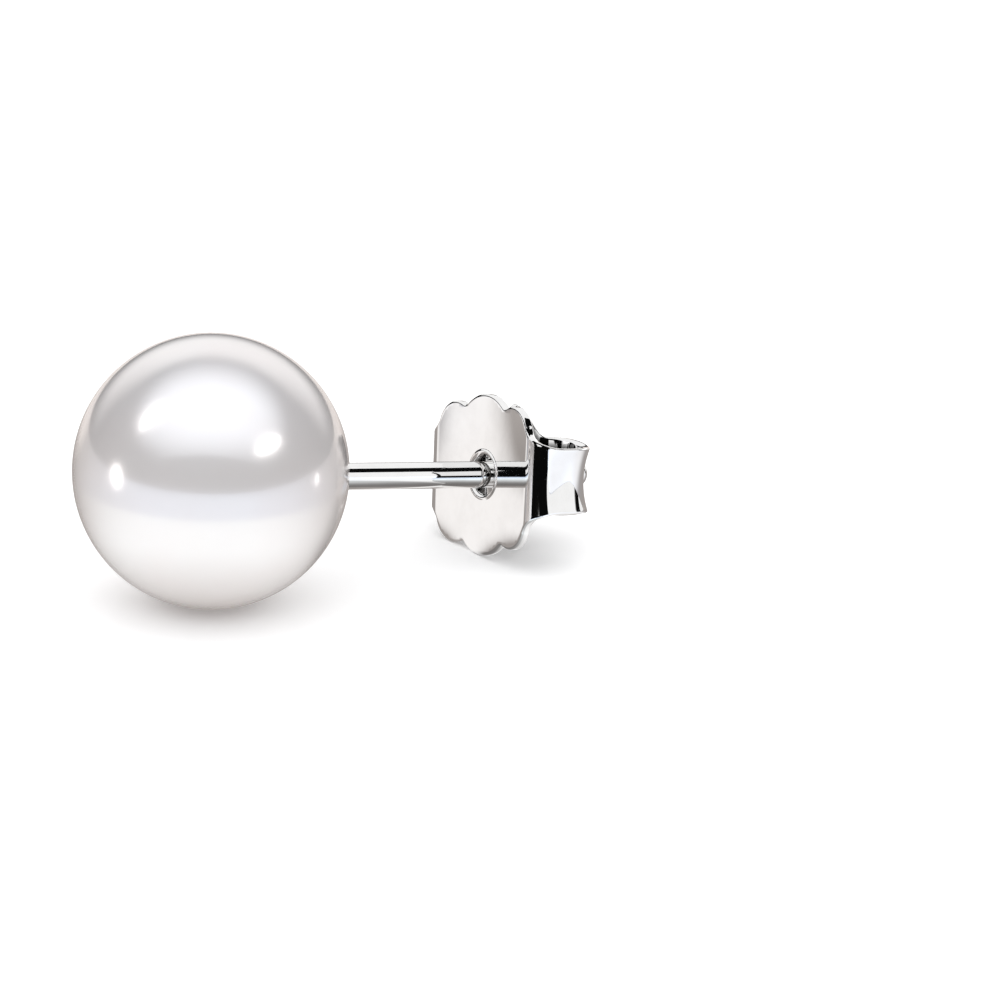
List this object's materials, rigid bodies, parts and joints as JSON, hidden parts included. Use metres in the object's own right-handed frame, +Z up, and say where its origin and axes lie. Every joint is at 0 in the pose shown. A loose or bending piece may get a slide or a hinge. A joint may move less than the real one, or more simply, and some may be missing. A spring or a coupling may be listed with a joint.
{
  "type": "pearl stud earring",
  "caption": "Round white pearl on a straight polished ear post, closed by a scalloped butterfly friction back.",
  "frame": {"origin": "centre of the bounding box's base, on the level surface that the earring rests on", "axes": "+Z up; +X level, pointing the way the ear post runs from the pearl to its tip (the post itself slopes down 8.4 degrees towards its tip as the stud rests)"},
  "size_m": [0.0172, 0.008, 0.008],
  "materials": {
    "nacre": "lustrous white pearl, softly glossy with a faint pink overtone",
    "white_metal": "mirror-polished white metal"
  },
  "bodies": {
    "stud": {"pearl": "nacre", "ear_post": "white_metal"},
    "nut": {"butterfly_back": "white_metal"}
  },
  "joints": [
    {"name": "back_slide", "type": "slide", "parent": "stud", "child": "nut", "axis": [0.9893, 0, -0.1459], "range_m": [-0.0048, 0.0041]}
  ]
}
